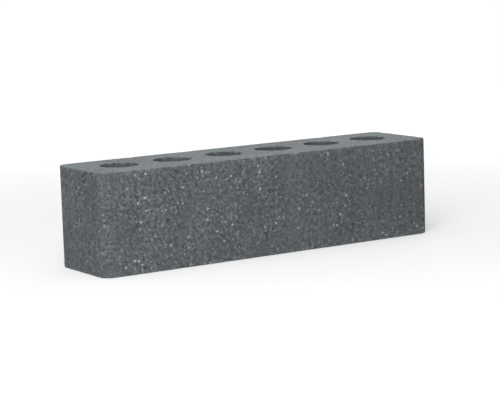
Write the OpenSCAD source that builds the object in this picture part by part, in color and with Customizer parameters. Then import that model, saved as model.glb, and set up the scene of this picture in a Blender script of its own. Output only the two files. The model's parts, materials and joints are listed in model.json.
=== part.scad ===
// Perforated facing brick: clay extruded through a die, wire cut at both bed faces and
// fired dark grey. The brick lies on a bed face, with +X along its length, +Y from the
// front stretcher face to the back one and +Z up. The origin is the middle of the lower
// bed face, and all sizes are in millimetres.

/* [Body] */
// Length of the brick, header face to header face
brick_length = 250; // [200:1:300]
// Width of the bed, front stretcher face to back stretcher face
brick_width = 60; // [50:1:120]
// Height of the brick, bed face to bed face
brick_height = 65; // [40:1:120]

/* [Edges] */
// Radius of the four upright edges, which the die rounds
upright_edge_radius = 7.5; // [3:0.5:12]
// Width of the worn bevel along the arrises of the two wire-cut bed faces
arris_bevel = 0.8; // [0.4:0.1:2]

/* [Perforations] */
// Number of round holes, in one row on the centre line of the bed
hole_count = 6; // [2:1:7]
// Diameter of each hole
hole_diameter = 24; // [12:1:28]
// Clay left between a header face and the wall of the nearest hole
end_wall = 17; // [12:1:25]

/* [Hidden] */
$fn = 96;

// Colour of the fired clay
clay_colour = [0.37, 0.38, 0.40];
// How far a hole's cutter runs past each bed face
cut_past = 1;
// Centre line of the rounding of an upright edge, from the middle of the brick
edge_centre_x = brick_length / 2 - upright_edge_radius;
edge_centre_y = brick_width / 2 - upright_edge_radius;
// The first hole, and the spacing that shares out the row between the two end walls
first_hole_x = -brick_length / 2 + end_wall + hole_diameter / 2;
hole_pitch = -2 * first_hole_x / (hole_count - 1);

// Half of an upright section, from the middle out to a side face that is half_width
// away, with the bevel at both bed faces
function half_section(half_width) = [
    [0, 0],
    [half_width - arris_bevel, 0],
    [half_width, arris_bevel],
    [half_width, brick_height - arris_bevel],
    [half_width - arris_bevel, brick_height],
    [0, brick_height]
];

// A bar along X over the origin, with both of its long sides bevelled
module bevelled_bar(bar_length, bar_width) {
    translate([-bar_length / 2, 0, 0])
        rotate([90, 0, 90])
            linear_extrude(bar_length)
                for (side = [0, 1])
                    mirror([side, 0])
                        polygon(half_section(bar_width / 2));
}

// The rounding of one upright edge, as a bevelled column about its own centre line
module edge_column() {
    rotate_extrude()
        polygon(half_section(upright_edge_radius));
}

// The blank as the wire leaves it: two crossed bars, with a column in each corner
module clay_blank() {
    bevelled_bar(2 * edge_centre_x, brick_width);
    rotate([0, 0, 90])
        bevelled_bar(2 * edge_centre_y, brick_length);
    for (x = [-edge_centre_x, edge_centre_x])
        for (y = [-edge_centre_y, edge_centre_y])
            translate([x, y, 0])
                edge_column();
}

// The row of holes that the die's cores leave, open at both bed faces
module perforations() {
    for (i = [0 : hole_count - 1])
        translate([first_hole_x + i * hole_pitch, 0, -cut_past])
            cylinder(d = hole_diameter, h = brick_height + 2 * cut_past);
}

module brick() {
    color(clay_colour)
        difference() {
            clay_blank();
            perforations();
        }
}

brick();
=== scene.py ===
"""A perforated facing brick of dark grey fired clay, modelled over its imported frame.

The brick is one closed mesh. It starts as the true section with its row of holes, and is then
worn: the sides get the drag of the die, the beds get the drag of the cutting wire, the arrises
crumble and the rims of the holes tear. The finest relief and all colour are in one material.
"""
import json
import math
from collections import namedtuple

import bmesh
import bpy
import numpy as np
from mathutils import Matrix, Vector, noise


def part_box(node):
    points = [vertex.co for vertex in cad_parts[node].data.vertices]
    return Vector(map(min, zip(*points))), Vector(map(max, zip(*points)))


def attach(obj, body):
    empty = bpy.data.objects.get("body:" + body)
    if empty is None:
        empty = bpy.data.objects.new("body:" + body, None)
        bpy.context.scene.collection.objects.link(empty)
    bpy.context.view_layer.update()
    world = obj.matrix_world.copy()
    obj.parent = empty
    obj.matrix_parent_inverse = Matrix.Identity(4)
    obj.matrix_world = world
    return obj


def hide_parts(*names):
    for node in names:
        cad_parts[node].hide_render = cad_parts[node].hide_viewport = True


MM = 0.001

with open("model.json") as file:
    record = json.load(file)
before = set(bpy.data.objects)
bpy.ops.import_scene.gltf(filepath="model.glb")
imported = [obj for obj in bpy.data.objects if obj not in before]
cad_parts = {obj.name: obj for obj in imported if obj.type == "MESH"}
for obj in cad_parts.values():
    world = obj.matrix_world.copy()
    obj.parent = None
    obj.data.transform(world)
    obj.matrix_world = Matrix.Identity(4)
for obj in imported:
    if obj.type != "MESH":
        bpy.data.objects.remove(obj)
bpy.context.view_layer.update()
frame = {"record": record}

# Sizes of the brick, read from the frame
LOW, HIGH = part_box("brick")
HALF_LENGTH = (HIGH[0] - LOW[0]) / 2
HALF_WIDTH = (HIGH[1] - LOW[1]) / 2
BOTTOM, TOP = LOW[2], HIGH[2]
HEIGHT = TOP - BOTTOM
BORES = sorted(
    (m for m in frame["record"]["mounts"] if m["kind"] == "bore"),
    key=lambda m: m["pos_m"][0],
)
HOLE_X = [m["pos_m"][0] for m in BORES]
HOLE_RADIUS = BORES[0]["dims"]["r_mm"] * MM

# Radius of the upright edges, and the mesh's spacing on the faces and round those edges
EDGE_RADIUS = 7.5 * MM
FACE_STEP = 1.12 * MM
CORNER_STEP = 0.85 * MM
# Points nearer than this are joined, and lengths under the next count as none
WELD = 0.01 * MM
TINY = 1e-9
# Places of the rings of a bed's mesh, as shares of the way from a hole's rim to its cell's edge
RING_SHARES = (0, 0.018, 0.045, 0.08, 0.13, 0.19, 0.26, 0.34, 0.42, 0.5, 0.58, 0.66, 0.74,
               0.81, 0.87, 0.92, 0.955, 0.98, 1)
# Depths in millimetres of the first rows below a bed, on the sides and in the holes, and the step
# between the rows further down a hole
SIDE_ROWS = (0, 0.3, 0.65, 1.1, 1.7, 2.5, 3.5)
BORE_ROWS = (0, 0.35, 0.8, 1.4, 2.3, 3.8, 6)
BORE_STEP = 6 * MM

# Camera: its place in the brick's frame, as the photograph gives it, its roll, and its lens and
# sensor in millimetres
CAMERA_PLACE = Vector((-0.627, -0.987, 0.203))
CAMERA_TARGET = Vector((0.0, 0.0, (BOTTOM + TOP) / 2))
CAMERA_ROLL = math.radians(1.85)
CAMERA_LENS = 130.0
SENSOR_WIDTH = 36.0

# The mesh's noise: how many times finer each octave is than the one before, the power of that by
# which it is weaker, and how far a layer's seed carries the noise off
OCTAVE_STEP = 2.0
OCTAVE_FALL = 1.0
SEED_SHIFT = (17.3, -9.1, 5.7)
# Layers of the mesh's relief: height, size of the features (both in millimetres), octaves and seed
Layer = namedtuple("Layer", "height size octaves seed")
SIDE_SWELL = Layer(0.07, 45, 2, 1)
SIDE_DRAG = Layer(0.045, 4, 3, 2)
SIDE_GRIT = Layer(0.05, 2.2, 3, 3)
BED_SWELL = Layer(0.06, 40, 2, 5)
BED_WIRE = Layer(0.05, 2.6, 3, 6)
BED_GRIT = Layer(0.05, 2.0, 3, 7)
BORE_DRAG = Layer(0.15, 3.2, 3, 9)
BORE_GRIT = Layer(0.08, 3.0, 2, 10)
MOUTH_TEAR = Layer(0.45, 5.0, 4, 11)
MOUTH_GRIT = Layer(0.22, 1.6, 2, 12)
ARRIS_WANDER = Layer(0.3, 5.0, 3, 14)
ARRIS_GRIT = Layer(0.22, 1.4, 2, 15)
RIM_WANDER = Layer(0.3, 2.2, 3, 17)
# Widths that arrises and rims lose where they are chipped, with the noise that chips them
NICKS = Layer(0.9, 11, 2, 13)
NICK_SPAN = (0.28, 0.62)
TEARS = Layer(0.7, 6, 2, 16)
TEAR_SPAN = (0.1, 0.6)
# Small pits in the faces: spacing, share of the cells that hold one, mean radius, depth (the
# lengths in millimetres) and seed
Pits = namedtuple("Pits", "spacing share radius depth seed")
SIDE_PITS = Pits(9, 0.28, 1.3, 0.45, 4)
BED_PITS = Pits(7, 0.3, 1.4, 0.5, 8)
# The smallest pit's share of the mean radius and how much more of it the largest one has, how far
# a seed carries the pits off, and the scale at which each pit gets its random draw
SMALLEST_PIT = 0.6
PIT_GROWTH = 0.8
PIT_SHIFT = (3.1, 7.7, -4.3)
DRAW_SCALE = 37.0
# Mean depths of the relief, and mean widths of the bevels that the wear leaves
FACE_INSET = 0.16 * MM
BORE_INSET = 0.1 * MM
ARRIS_WIDTH = 0.7 * MM
RIM_WIDTH = 0.45 * MM
# How far each relief reaches past its own face, and how soft the corners between them are
FACE_REACH = 3 * MM
BORE_REACH = 2.5 * MM
MOUTH_REACH = 2.2 * MM
SOFT_FACE = 0.02 * MM
SOFT_ARRIS = 0.12 * MM
SOFT_RIM = 0.1 * MM
# How much the lines of the die and of the cutting wire are drawn out
DIE_STRETCH = (1, 1, 0.06)
WIRE_STRETCH = (1, 0.08, 1)
# Reach of the crumbled arrises and rims, and the depths where a bed and a bore end
CRUMB_REACH = 1.4 * MM
BED_SPAN = (0.2 * MM, 1.2 * MM)
BORE_SPAN = (0.1 * MM, 0.8 * MM)

# Clay colours, and the gains for the beds' painted light and for the holes' walls' painted shade
CLAY = (0.1068, 0.12, 0.1278, 1)
WARM_CLAY = (0.115, 0.112, 0.113, 1)
# Painted light: the beds are made lighter, standing in for the stronger light from above on the top
BED_PAINTED_LIGHT_GAIN = 1.32
# Painted shade: the holes' walls are made darker, standing in for the shade in the holes
BORE_PAINTED_SHADE_GAIN = 0.8
# Patterns of noise in the clay: size of the features in millimetres, detail, roughness, and how
# far the noise is carried off, so that each pattern has a place of its own
Pattern = namedtuple("Pattern", "size detail roughness shift")
# The clouds are random tone, placed so they darken the right end: painted shade for the light's
# fall-off
CLOUD_AND_PAINTED_SHADE = Pattern(46, 3.0, 0.5, 12)
MOTTLE = Pattern(2.7, 2.0, 0.65, 0)
GRAIN = Pattern(1.25, 2.0, 0.7, 0)
FINE_GRAIN = Pattern(0.5, 1.0, 0.6, 15)
STREAK = Pattern(3.4, 3.0, 0.6, 0)
WIRE_LINE = Pattern(1.6, 3.0, 0.6, 0)
LOOSE = Pattern(19, 3.0, 0.6, 90)
WARMTH = Pattern(9, 3.0, 0.65, 50)
FLECK = Pattern(2.5, 1.0, 0.6, 20)
PORE = Pattern(2.2, 1.0, 0.6, 70)
CRUMB = Pattern(2.4, 2.0, 0.5, 35)
# The span in which most noise lies, and the swing that each pattern gives the clay's tone
NOISE_SPAN = (0.26, 0.74)
CLOUD_SWING = 0.11
STREAK_SWING = 0.08
MOTTLE_SWING = 0.32
GRAIN_SWING = 0.28
FINE_SWING = 0.1
# The span of sandiness over which the speckle's contrast grows, that contrast in plain and in
# sandy clay, and its share on the beds and in the holes
CONTRAST_SPAN = (0.0, 1.3)
CONTRAST = (0.94, 1.36)
BED_CONTRAST = 0.85
BORE_CONTRAST = 0.65
# Spans of noise in which the clay turns loose, warm, flecked, pitted and crumbled
LOOSE_SPAN = (0.37, 0.66)
WARM_SPAN = (0.5, 0.75)
FLECK_SPAN = (0.57, 0.70)
PORE_SPAN = (0.36, 0.24)
CRUMB_SPAN = (0.38, 0.66)
# The sandiest patch of the front: its middle and its reach in millimetres, how many times sooner it
# ends along each axis, and how much sandiness it adds
SANDY_PLACE = (-62, -30, 20)
SANDY_REACH = 115
SANDY_STRETCH = (1, 3, 1)
SANDY_GAIN = 0.5
# The span of sandiness over which more of the pale grains show, their share at its ends, and how
# much of that share is left on the beds and in the holes
SANDY_SPAN = (0.1, 1.5)
PALE_SHARE = (0.34, 1.0)
BED_PALE_SHARE = 0.5
BORE_PALE_SHARE = 0.3
# Pale grains: spacing, share of the cells that hold one, largest radius, width of the soft border
# as a share of that radius, and the size and strength of the noise that makes them ragged (the
# lengths in millimetres)
Grains = namedtuple("Grains", "spacing share radius softness ruffle_size ruffle")
SAND = Grains(3.0, 0.42, 1.25, 0.6, 1.0, 0.6)
DUST = Grains(1.4, 0.4, 0.45, 0.6, 0.6, 0.25)
COARSE = Grains(5.6, 0.28, 1.15, 0.5, 0.8, 0.5)
# The smallest grain's share of the largest one's radius, and the gains by which the clay's own
# grain breaks up the pale ones
SMALLEST_GRAIN = 0.45
PALE_BREAKS = (0.65, 1.1)
# How strongly each mark covers the clay (a pair is for its faintest and strongest grains), and the
# marks' colours
WARM_MIX = 0.55
FLECK_MIX = 0.8
SAND_MIX = (0.5, 1.0)
DUST_MIX = 0.5
COARSE_MIX = (0.15, 0.9)
# The pores' dark cover is painted shade in the small pits
PORE_SHADE_MIX = 0.5
CRUMB_MIX = 0.42
FLECK_COLOUR = (0.30, 0.325, 0.34, 1)
SAND_COLOURS = ((0.52, 0.52, 0.51, 1), (0.58, 0.62, 0.65, 1))
COARSE_COLOURS = ((0.64, 0.59, 0.52, 1), (0.70, 0.74, 0.77, 1))
# The pores' colour is painted shade in the small pits
PORE_PAINTED_SHADE_COLOUR = (0.05, 0.054, 0.06, 1)
CRUMB_COLOUR = (0.25, 0.265, 0.275, 1)
# Height of each mark in the finest relief, in millimetres
RELIEF = {
    "grain": 0.2, "fine grain": 0.08, "mottle": 0.28, "streak": 0.14,
    "fleck": 0.1, "sand": 0.16, "dust": 0.06, "coarse": 0.2, "pore": -0.35,
}
WIRE_RELIEF = 0.2
# The strength of that relief, and how rough and how glossy the clay is
BUMP_STRENGTH = 0.9
ROUGHNESS = (0.74, 0.92)
GLOSS = 0.35

# Studio, in metres: the sky's light, and the floor's radius and number of sides
SKY_LIGHT = 0.32
FLOOR_RADIUS = 30.0
FLOOR_SIDES = 96
# The white that only the camera sees on the floor, near the brick and far from it, with the
# distances, and the floor's albedo as it lights the brick and as the camera sees it
FLOOR_WHITE_NEAR = 0.32
FLOOR_WHITE_FAR = 0.6
FLOOR_NEAR = 0.1
FLOOR_FAR = 0.9
FLOOR_ALBEDO = 0.45
FLOOR_SEEN_ALBEDO = 0.62
# Lamps: the key and the fill are discs, and the top light is a wide sun
KEY_PLACE = (-0.52, -0.56, 0.52)
KEY_SIZE = 0.5
KEY_POWER = 5.05
FILL_PLACE = (0.9, 0.8, 0.3)
FILL_SIZE = 0.8
FILL_POWER = 3.0
TOP_PLACE = (-0.5, -0.4, 3.0)
TOP_ANGLE = math.radians(70)
TOP_STRENGTH = 1.1


def straight(start, end, step):
    """Points from start towards end, about step apart, without end itself."""
    start, end = np.array(start, float), np.array(end, float)
    count = max(1, round(float(np.linalg.norm(end - start)) / step))
    return [start + (end - start) * k / count for k in range(count)]


def arc(centre, radius, start_deg, end_deg, step):
    """Points on an arc from start_deg to end_deg, about step apart, without its last point."""
    count = max(1, round(radius * math.radians(abs(end_deg - start_deg)) / step))
    angles = [math.radians(start_deg + (end_deg - start_deg) * k / count) for k in range(count)]
    return [np.array(centre) + radius * np.array((math.cos(a), math.sin(a))) for a in angles]


def end_run(side):
    """The outline round one end of the brick: an edge's arc, the header face, the other arc."""
    cx, cy = HALF_LENGTH - EDGE_RADIUS, HALF_WIDTH - EDGE_RADIUS
    turn = 0 if side > 0 else 180
    return (
        arc((side * cx, -side * cy), EDGE_RADIUS, turn - 90, turn, CORNER_STEP)
        + straight((side * HALF_LENGTH, -side * cy), (side * HALF_LENGTH, side * cy), FACE_STEP)
        + arc((side * cx, side * cy), EDGE_RADIUS, turn, turn + 90, CORNER_STEP)
    )


def cells():
    """Left and right bounds of the strip of bed round each hole, from web middle to web middle."""
    webs = [(a + b) / 2 for a, b in zip(HOLE_X, HOLE_X[1:])]
    reach = HALF_LENGTH - EDGE_RADIUS
    return list(zip([-reach] + webs, webs + [reach]))


def long_runs(left, right):
    """The two stretches of outline along a cell's front and back."""
    return (
        straight((left, -HALF_WIDTH), (right, -HALF_WIDTH), FACE_STEP),
        straight((right, HALF_WIDTH), (left, HALF_WIDTH), FACE_STEP),
    )


def cell_outline(index):
    """The closed outline of one cell, anticlockwise from its front left corner."""
    bounds = cells()
    left, right = bounds[index]
    front, back = long_runs(left, right)
    right_run = straight((right, -HALF_WIDTH), (right, HALF_WIDTH), FACE_STEP)
    left_run = straight((left, HALF_WIDTH), (left, -HALF_WIDTH), FACE_STEP)
    if index == len(bounds) - 1:
        right_run = end_run(1)
    if index == 0:
        left_run = end_run(-1)
    return np.array(front + right_run + back + left_run)


def whole_outline():
    """The outline of the whole section, anticlockwise."""
    runs = [long_runs(*bounds) for bounds in cells()]
    front = [p for run in runs for p in run[0]]
    back = [p for run in reversed(runs) for p in run[1]]
    return np.array(front + end_run(1) + back + end_run(-1))


def rim_points(centre_x, outline):
    """One point on a hole's rim for each point of its cell's outline, spread by arc length."""
    steps = np.linalg.norm(np.roll(outline, -1, axis=0) - outline, axis=1)
    share = np.concatenate(([0], np.cumsum(steps)[:-1])) / steps.sum()
    start = math.atan2(outline[0][1], outline[0][0] - centre_x)
    angles = start + share * 2 * math.pi
    ring = np.stack([np.cos(angles), np.sin(angles)], axis=1) * HOLE_RADIUS
    return ring + np.array((centre_x, 0.0))


def rows(first_rows, step):
    """Heights of a wall's rows from the lower bed to the upper one, closer near the beds."""
    near = [d * MM for d in first_rows]
    inner = HEIGHT - 2 * near[-1]
    count = round(inner / step)
    middle = [near[-1] + inner * k / count for k in range(1, count)]
    return [BOTTOM + z for z in near + middle] + [TOP - z for z in reversed(near)]


def add_grid(mesh, loops):
    """Join closed loops of points, each of the same length, with a strip of quads between them."""
    made = [[mesh.verts.new(p) for p in loop] for loop in loops]
    for low, high in zip(made, made[1:]):
        for k in range(len(low)):
            mesh.faces.new((low[k - 1], low[k], high[k], high[k - 1]))


def at_height(points, z):
    """Points of the plan, set at one height."""
    return [(x, y, z) for x, y in points]


def clean_brick():
    """The unworn brick as a closed mesh, with sharp arrises and rims."""
    mesh = bmesh.new()
    for index, centre_x in enumerate(HOLE_X):
        outline = cell_outline(index)
        rim = rim_points(centre_x, outline)
        for z in (BOTTOM, TOP):
            add_grid(mesh, [at_height(rim + (outline - rim) * s, z) for s in RING_SHARES])
        add_grid(mesh, [at_height(rim, z) for z in rows(BORE_ROWS, BORE_STEP)])
    outline = whole_outline()
    add_grid(mesh, [at_height(outline, z) for z in rows(SIDE_ROWS, FACE_STEP)])
    bmesh.ops.remove_doubles(mesh, verts=mesh.verts, dist=WELD)
    bmesh.ops.recalc_face_normals(mesh, faces=mesh.faces)
    return mesh


def field(points, layer):
    """A layer's smooth noise at each point, from about -1 to 1."""
    shift = Vector([way * layer.seed for way in SEED_SHIFT])
    size = layer.size * MM
    return np.array([
        noise.fractal(Vector(p / size) + shift, OCTAVE_FALL, OCTAVE_STEP, layer.octaves)
        for p in points
    ])


def relief(points, layer):
    """A layer's height at each point, in metres."""
    return layer.height * MM * field(points, layer)


def step_up(values, low, high):
    """0 below low, 1 above high, and a smooth rise between them."""
    t = np.clip((values - low) / (high - low), 0, 1)
    return t * t * (3 - 2 * t)


def soft_positive(values, softness):
    """The values where they are positive and 0 where negative, with a rounded corner."""
    return softness * np.logaddexp(0, values / softness)


def pits(points, kind):
    """Depth of small round pits, in a share of the cells of a random pattern."""
    out = np.zeros(len(points))
    shift = Vector([way * kind.seed for way in PIT_SHIFT])
    for k, p in enumerate(points):
        near, centres = noise.voronoi(Vector(p / (kind.spacing * MM)) + shift)
        draw = abs(noise.cell(centres[0] * DRAW_SCALE))
        if draw < kind.share:
            radius = kind.radius * (SMALLEST_PIT + PIT_GROWTH * draw / kind.share)
            out[k] = kind.depth * MM * max(0.0, 1 - (near[0] * kind.spacing / radius) ** 2)
    return out


def section_distance(xy):
    """Depth of each point inside the section's outline, and the outward direction there."""
    core = np.array((HALF_LENGTH - EDGE_RADIUS, HALF_WIDTH - EDGE_RADIUS))
    past = np.abs(xy) - core
    beyond = np.maximum(past, 0)
    length = np.linalg.norm(beyond, axis=1)
    depth = EDGE_RADIUS - length - np.minimum(past.max(axis=1), 0)
    flat = np.where((past[:, 0] > past[:, 1])[:, None], (1.0, 0.0), (0.0, 1.0))
    corner = length > TINY
    out = np.where(corner[:, None], beyond / np.maximum(length, TINY)[:, None], flat)
    return depth, out * np.sign(xy)


def hole_distance(xy):
    """Depth of each point into the clay from the nearest hole's wall, and the way out of it."""
    centres = np.array(HOLE_X)
    nearest = centres[np.abs(xy[:, :1] - centres).argmin(axis=1)]
    offset = xy - np.stack([nearest, np.zeros(len(xy))], axis=1)
    length = np.linalg.norm(offset, axis=1)
    return length - HOLE_RADIUS, -offset / length[:, None]


def fade(depth, reach):
    """1 on a face, and less and less with the depth behind it."""
    return np.exp(-np.maximum(depth, 0) / reach)


def side_relief(points):
    """How far the drawn sides lie inside the true faces."""
    drag = points * np.array(DIE_STRETCH)
    depth = FACE_INSET + relief(points, SIDE_SWELL) + relief(drag, SIDE_DRAG)
    return soft_positive(depth + relief(points, SIDE_GRIT) + pits(points, SIDE_PITS), SOFT_FACE)


def bed_relief(points):
    """How far the wire-cut beds lie inside the true faces."""
    wire = points * np.array(WIRE_STRETCH)
    depth = FACE_INSET + relief(points, BED_SWELL) + relief(wire, BED_WIRE)
    return soft_positive(depth + relief(points, BED_GRIT) + pits(points, BED_PITS), SOFT_FACE)


def bore_relief(points, bed_depth):
    """How far the holes' walls lie inside the clay, with torn clay at each mouth."""
    drag = points * np.array(DIE_STRETCH)
    mouth = relief(points, MOUTH_TEAR) + relief(points, MOUTH_GRIT)
    wall = BORE_INSET + relief(drag, BORE_DRAG) + relief(points, BORE_GRIT)
    return wall + mouth * fade(bed_depth, MOUTH_REACH)


def chipped(points, width, layers, chips, span):
    """The wandering width of a worn edge's bevel, wider where it is chipped."""
    wander = sum(relief(points, layer) for layer in layers)
    return width + wander + chips.height * MM * step_up(field(points, chips), *span)


def worn(points):
    """Moves the clean brick's points to the worn surface. Returns them with their zone values."""
    xy, z = points[:, :2], points[:, 2]
    side_depth, side_out = section_distance(xy)
    hole_depth, hole_out = hole_distance(xy)
    bed_depth = np.minimum(TOP - z, z - BOTTOM)
    bed_out = np.where(z > (BOTTOM + TOP) / 2, 1.0, -1.0)
    side_in = side_relief(points) * fade(side_depth, FACE_REACH)
    bed_in = bed_relief(points) * fade(bed_depth, FACE_REACH)
    hole_in = bore_relief(points, bed_depth) * fade(hole_depth, BORE_REACH)

    # Each bevel is cut where the two depths together are less than its width
    arris = chipped(points, ARRIS_WIDTH, (ARRIS_WANDER, ARRIS_GRIT), NICKS, NICK_SPAN)
    cut = soft_positive(arris - side_depth - side_in - bed_depth - bed_in, SOFT_ARRIS) / 2
    side_in = side_in + cut
    bed_in = bed_in + cut
    rim = chipped(points, RIM_WIDTH, (RIM_WANDER,), TEARS, TEAR_SPAN)
    rim_cut = soft_positive(rim - hole_depth - bed_depth - bed_in, SOFT_RIM) / 2
    hole_in = hole_in + rim_cut
    bed_in = bed_in + rim_cut

    moved = points.copy()
    moved[:, :2] -= side_out * side_in[:, None] + hole_out * hole_in[:, None]
    moved[:, 2] -= bed_out * bed_in
    zones = {
        "arris": fade(np.hypot(side_depth, bed_depth), CRUMB_REACH),
        "rim": fade(np.hypot(hole_depth, bed_depth), CRUMB_REACH),
        "bed": 1 - step_up(bed_depth, *BED_SPAN),
        "bore": 1 - step_up(hole_depth, *BORE_SPAN),
    }
    return moved, zones


def worn_brick():
    """The piece that stands for the CAD's brick."""
    mesh = clean_brick()
    data = bpy.data.meshes.new("worn_brick")
    mesh.to_mesh(data)
    mesh.free()
    points = np.zeros(len(data.vertices) * 3)
    data.vertices.foreach_get("co", points)
    moved, zones = worn(points.reshape(-1, 3))
    data.vertices.foreach_set("co", moved.astype(np.float32).ravel())
    for name, values in zones.items():
        layer = data.attributes.new(name, "FLOAT", "POINT")
        layer.data.foreach_set("value", values.astype(np.float32))
    data.shade_smooth()
    data.update()
    piece = bpy.data.objects.new("worn_brick", data)
    bpy.context.scene.collection.objects.link(piece)
    return piece


# Sockets of a Mix node that mixes colours, where each kind of value has sockets of its own
COLOUR_FACTOR, COLOUR_A, COLOUR_B = 0, 6, 7
COLOUR_RESULT = 2


class Graph:
    """A material's or a world's node tree, with short ways to add nodes to it."""

    def __init__(self, owner):
        owner.use_nodes = True
        self.tree = owner.node_tree
        self.tree.nodes.clear()

    def add(self, kind, inputs=None, **settings):
        made = self.tree.nodes.new(kind)
        for name, value in settings.items():
            setattr(made, name, value)
        for name, value in (inputs or {}).items():
            socket = made.inputs[name]
            if isinstance(value, bpy.types.NodeSocket):
                self.tree.links.new(value, socket)
            else:
                socket.default_value = value
        return made

    def math(self, operation, a, b=0.0, clamp=False):
        return self.add("ShaderNodeMath", {0: a, 1: b}, operation=operation, use_clamp=clamp).outputs[0]

    def noise(self, vector, pattern):
        """A pattern's noise, from 0 to 1."""
        made = self.add("ShaderNodeTexNoise", {
            "Vector": self.moved(vector, pattern.shift), "Scale": 1 / pattern.size,
            "Detail": pattern.detail, "Roughness": pattern.roughness})
        return made.outputs["Fac"]

    def ramp(self, value, low, high, out_low=0.0, out_high=1.0):
        """The value's range low to high, as a smooth rise from out_low to out_high."""
        made = self.add("ShaderNodeMapRange", {
            "Value": value, "From Min": low, "From Max": high,
            "To Min": out_low, "To Max": out_high}, interpolation_type="SMOOTHSTEP")
        return made.outputs["Result"]

    def mix(self, factor, a, b):
        """Colour a turned into colour b by a factor from 0 to 1."""
        inputs = {COLOUR_FACTOR: factor, COLOUR_A: a, COLOUR_B: b}
        return self.add("ShaderNodeMix", inputs, data_type="RGBA").outputs[COLOUR_RESULT]

    def swing(self, value, amount):
        """Noise as a gain from 1 - amount to 1 + amount."""
        return self.ramp(value, *NOISE_SPAN, 1 - amount, 1 + amount)

    def stretched(self, vector, stretch):
        return self.add(
            "ShaderNodeVectorMath", {0: vector, 1: stretch}, operation="MULTIPLY").outputs[0]

    def scaled(self, vector, factor):
        return self.add(
            "ShaderNodeVectorMath", {0: vector, "Scale": factor}, operation="SCALE").outputs[0]

    def moved(self, vector, by):
        """The vector carried off by some way, where a noise shows a part of its own."""
        return self.add("ShaderNodeVectorMath", {0: vector, 1: (by, 2 * by, 3 * by)}).outputs[0]

    def ruffled(self, vector, size, amount):
        """The vector pushed about by noise, so that round things in it turn ragged."""
        push = self.add("ShaderNodeTexNoise", {"Vector": vector, "Scale": 1 / size, "Detail": 1.0})
        centred = self.add(
            "ShaderNodeVectorMath", {0: push.outputs["Color"], 1: (0.5, 0.5, 0.5)},
            operation="SUBTRACT").outputs[0]
        return self.add(
            "ShaderNodeVectorMath", {0: vector, 1: self.scaled(centred, 2 * amount)}).outputs[0]

    def product(self, first, *others):
        for other in others:
            first = self.math("MULTIPLY", first, other)
        return first

    def total(self, first, *others):
        for other in others:
            first = self.math("ADD", first, other)
        return first

    def zone(self, name):
        return self.add("ShaderNodeAttribute", attribute_name=name).outputs["Fac"]

    def grains(self, place, kind):
        """Ragged grains in a share of the cells of a random pattern.

        Gives their mask, and a random value from 0 to 1 for each grain.
        """
        vector = self.ruffled(place, kind.ruffle_size, kind.ruffle)
        cell = self.add("ShaderNodeTexVoronoi", {"Vector": vector, "Scale": 1 / kind.spacing})
        draws = self.add("ShaderNodeSeparateColor", {0: cell.outputs["Color"]})
        largest = kind.radius / kind.spacing
        reach = self.ramp(draws.outputs[1], 0.0, 1.0, SMALLEST_GRAIN * largest, largest)
        inside = self.math("SUBTRACT", reach, cell.outputs["Distance"])
        dot = self.ramp(inside, 0.0, kind.softness * largest)
        chosen = self.math("LESS_THAN", draws.outputs[0], kind.share)
        return self.math("MULTIPLY", dot, chosen), draws.outputs[2]


def clay_marks(g, place):
    """The marks that the clay's colour and its relief share, from 0 to 1, by their names."""
    marks = {
        "mottle": g.noise(place, MOTTLE),
        "grain": g.noise(place, GRAIN),
        "fine grain": g.noise(place, FINE_GRAIN),
        "streak": g.noise(g.stretched(place, DIE_STRETCH), STREAK),
        "fleck": g.ramp(g.noise(place, FLECK), *FLECK_SPAN),
        "pore": g.ramp(g.noise(place, PORE), *PORE_SPAN),
    }
    for name, kind in (("sand", SAND), ("dust", DUST), ("coarse", COARSE)):
        marks[name], marks[name + " draw"] = g.grains(place, kind)
    return marks


def sandiness_at(g, place):
    """How sandy and rough the clay is, by place: loose patches, and the front's sandiest part."""
    middle = tuple(c * stretch for c, stretch in zip(SANDY_PLACE, SANDY_STRETCH))
    to_patch = g.add("ShaderNodeVectorMath", {
        0: g.stretched(place, SANDY_STRETCH), 1: middle}, operation="DISTANCE")
    patch = g.ramp(to_patch.outputs["Value"], SANDY_REACH, 0.0, 0.0, SANDY_GAIN)
    return g.math("ADD", g.ramp(g.noise(place, LOOSE), *LOOSE_SPAN), patch)


def zone_gain(g, zones, bed, bore):
    """1 on the sides, changing to the given gains on the beds and in the holes."""
    return g.product(
        g.ramp(zones["bed"], 0.0, 1.0, 1.0, bed),
        g.ramp(zones["bore"], 0.0, 1.0, 1.0, bore),
    )


def plain_clay(g, place, marks, zones, sandiness):
    """The clay's colour: clouds, mottle, grain, die lines, painted light on beds and shade in holes."""
    contrast = g.product(
        g.ramp(sandiness, *CONTRAST_SPAN, *CONTRAST),
        zone_gain(g, zones, BED_CONTRAST, BORE_CONTRAST),
    )
    speckle = g.product(
        g.swing(marks["mottle"], MOTTLE_SWING),
        g.swing(marks["grain"], GRAIN_SWING),
        g.swing(marks["fine grain"], FINE_SWING),
    )
    tone = g.product(
        g.math("ADD", g.product(g.math("SUBTRACT", speckle, 1.0), contrast), 1.0),
        # Random tone clouds that also darken the right end, as painted shade
        g.swing(g.noise(place, CLOUD_AND_PAINTED_SHADE), CLOUD_SWING),
        g.swing(marks["streak"], STREAK_SWING),
        # Lighter beds are painted light for the light from above; darker holes' walls are painted shade
        zone_gain(g, zones, BED_PAINTED_LIGHT_GAIN, BORE_PAINTED_SHADE_GAIN),
    )
    warmth = g.ramp(g.noise(place, WARMTH), *WARM_SPAN, 0.0, WARM_MIX)
    return g.scaled(g.mix(warmth, CLAY, WARM_CLAY), tone)


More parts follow.
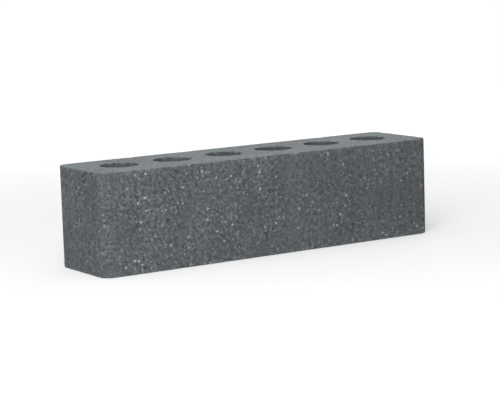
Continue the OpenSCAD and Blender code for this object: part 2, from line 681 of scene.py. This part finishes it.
def marked_clay(g, place, colour, marks, zones, sandiness):
    """The colour with pale sand in clusters, painted shade in pores, coarse pieces and crumbled edges.
    """
    seen = g.product(
        zone_gain(g, zones, BED_PALE_SHARE, BORE_PALE_SHARE),
        g.ramp(marks["grain"], *NOISE_SPAN, *PALE_BREAKS),
    )
    pale = g.product(g.ramp(sandiness, *SANDY_SPAN, *PALE_SHARE), seen)
    sand_cover = g.ramp(marks["sand draw"], 0.0, 1.0, *SAND_MIX)
    coarse_cover = g.ramp(marks["coarse draw"], 0.0, 1.0, *COARSE_MIX)
    rough_edge = g.math("ADD", zones["arris"], zones["rim"])
    crumb = g.product(rough_edge, g.ramp(g.noise(place, CRUMB), *CRUMB_SPAN))
    colour = g.mix(g.product(marks["fleck"], pale, FLECK_MIX), colour, FLECK_COLOUR)
    colour = g.mix(g.product(marks["dust"], pale, DUST_MIX), colour, SAND_COLOURS[1])
    colour = g.mix(g.product(marks["sand"], pale, sand_cover), colour,
                   g.mix(marks["sand draw"], *SAND_COLOURS))
    # Pores: painted shade darkens the small pits
    colour = g.mix(g.product(marks["pore"], PORE_SHADE_MIX), colour, PORE_PAINTED_SHADE_COLOUR)
    colour = g.mix(g.product(marks["coarse"], seen, coarse_cover), colour,
                   g.mix(marks["coarse draw"], *COARSE_COLOURS))
    return g.mix(g.math("MULTIPLY", crumb, CRUMB_MIX, clamp=True), colour, CRUMB_COLOUR)


def fired_clay():
    """Dark grey clay with pale sand, drag lines, crumbled arrises, and painted shade in holes and
    pores.
    """
    material = bpy.data.materials.new("fired_clay")
    g = Graph(material)
    place = g.scaled(g.add("ShaderNodeTexCoord").outputs["Object"], 1 / MM)
    zones = {name: g.zone(name) for name in ("bed", "bore", "arris", "rim")}
    marks = clay_marks(g, place)
    sandiness = sandiness_at(g, place)
    colour = plain_clay(g, place, marks, zones, sandiness)
    colour = marked_clay(g, place, colour, marks, zones, sandiness)
    wire_line = g.noise(g.stretched(place, WIRE_STRETCH), WIRE_LINE)
    heights = [g.product(marks[name], height) for name, height in RELIEF.items()]
    height = g.total(g.product(wire_line, zones["bed"], WIRE_RELIEF), *heights)
    bump = g.add("ShaderNodeBump", {
        "Height": height, "Strength": BUMP_STRENGTH, "Distance": 1 * MM})
    shader = g.add("ShaderNodeBsdfPrincipled", {
        "Base Color": colour,
        "Roughness": g.ramp(marks["grain"], *NOISE_SPAN, *ROUGHNESS),
        "Normal": bump.outputs[0],
        "Specular IOR Level": GLOSS,
    })
    g.add("ShaderNodeOutputMaterial", {"Surface": shader.outputs[0]})
    return material


def white_sky():
    """A sky that is white to the camera and lights the brick softly."""
    world = bpy.data.worlds.new("studio")
    bpy.context.scene.world = world
    g = Graph(world)
    path = g.add("ShaderNodeLightPath")
    seen = g.math("MAXIMUM", path.outputs["Is Camera Ray"], path.outputs["Is Glossy Ray"])
    seen = g.math("MAXIMUM", seen, path.outputs["Is Transmission Ray"])
    strength = g.ramp(seen, 0.0, 1.0, SKY_LIGHT, 1.0)
    sky = g.add("ShaderNodeBackground", {"Color": (1, 1, 1, 1), "Strength": strength})
    g.add("ShaderNodeOutputWorld", {"Surface": sky.outputs[0]})


def pale_floor():
    """A floor that looks nearly white to the camera and keeps the brick's shadow."""
    data = bpy.data.meshes.new("floor")
    flat = bmesh.new()
    bmesh.ops.create_circle(flat, cap_ends=True, segments=FLOOR_SIDES, radius=FLOOR_RADIUS)
    flat.to_mesh(data)
    flat.free()
    floor = bpy.data.objects.new("floor", data)
    bpy.context.scene.collection.objects.link(floor)
    pale = bpy.data.materials.new("pale_floor")
    g = Graph(pale)
    to_camera = g.add("ShaderNodeLightPath").outputs["Is Camera Ray"]
    albedo = g.ramp(to_camera, 0.0, 1.0, FLOOR_ALBEDO, FLOOR_SEEN_ALBEDO)
    lit = g.add("ShaderNodeBsdfDiffuse", {"Color": albedo})
    coords = g.add("ShaderNodeTexCoord").outputs["Object"]
    distance = g.add("ShaderNodeVectorMath", {0: coords}, operation="LENGTH").outputs["Value"]
    shine = g.ramp(distance, FLOOR_NEAR, FLOOR_FAR, FLOOR_WHITE_NEAR, FLOOR_WHITE_FAR)
    white = g.add("ShaderNodeEmission", {"Strength": g.math("MULTIPLY", to_camera, shine)})
    both = g.add("ShaderNodeAddShader", {0: lit.outputs[0], 1: white.outputs[0]})
    g.add("ShaderNodeOutputMaterial", {"Surface": both.outputs[0]})
    data.materials.append(pale)


def add_lamp(name, kind, place, power, **settings):
    """A lamp at place, aimed at the brick."""
    lamp = bpy.data.lights.new(name, kind)
    lamp.energy = power
    for key, value in settings.items():
        setattr(lamp, key, value)
    piece = bpy.data.objects.new(name, lamp)
    bpy.context.scene.collection.objects.link(piece)
    piece.location = place
    piece.rotation_euler = (CAMERA_TARGET - Vector(place)).to_track_quat("-Z", "Y").to_euler()


def studio():
    """A pale floor, a white sky, a key light at the front left, and fill from behind and above."""
    white_sky()
    pale_floor()
    add_lamp("key", "AREA", KEY_PLACE, KEY_POWER, shape="DISK", size=KEY_SIZE)
    add_lamp("fill", "AREA", FILL_PLACE, FILL_POWER, shape="DISK", size=FILL_SIZE)
    add_lamp("top", "SUN", TOP_PLACE, TOP_STRENGTH, angle=TOP_ANGLE)


def add_camera():
    """The camera stands where the photograph's did, aimed at the brick, with the same roll."""
    data = bpy.data.cameras.new("camera")
    data.lens = CAMERA_LENS
    data.sensor_width = SENSOR_WIDTH
    camera = bpy.data.objects.new("camera", data)
    bpy.context.scene.collection.objects.link(camera)
    aim = (CAMERA_TARGET - CAMERA_PLACE).to_track_quat("-Z", "Y").to_matrix()
    turn = aim @ Matrix.Rotation(-CAMERA_ROLL, 3, "Z")
    camera.matrix_world = Matrix.Translation(CAMERA_PLACE) @ turn.to_4x4()
    bpy.context.scene.camera = camera


add_camera()
studio()
brick = worn_brick()
brick.data.materials.append(fired_clay())
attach(brick, "root")
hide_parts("brick")

bpy.context.scene.view_settings.view_transform = "Standard"
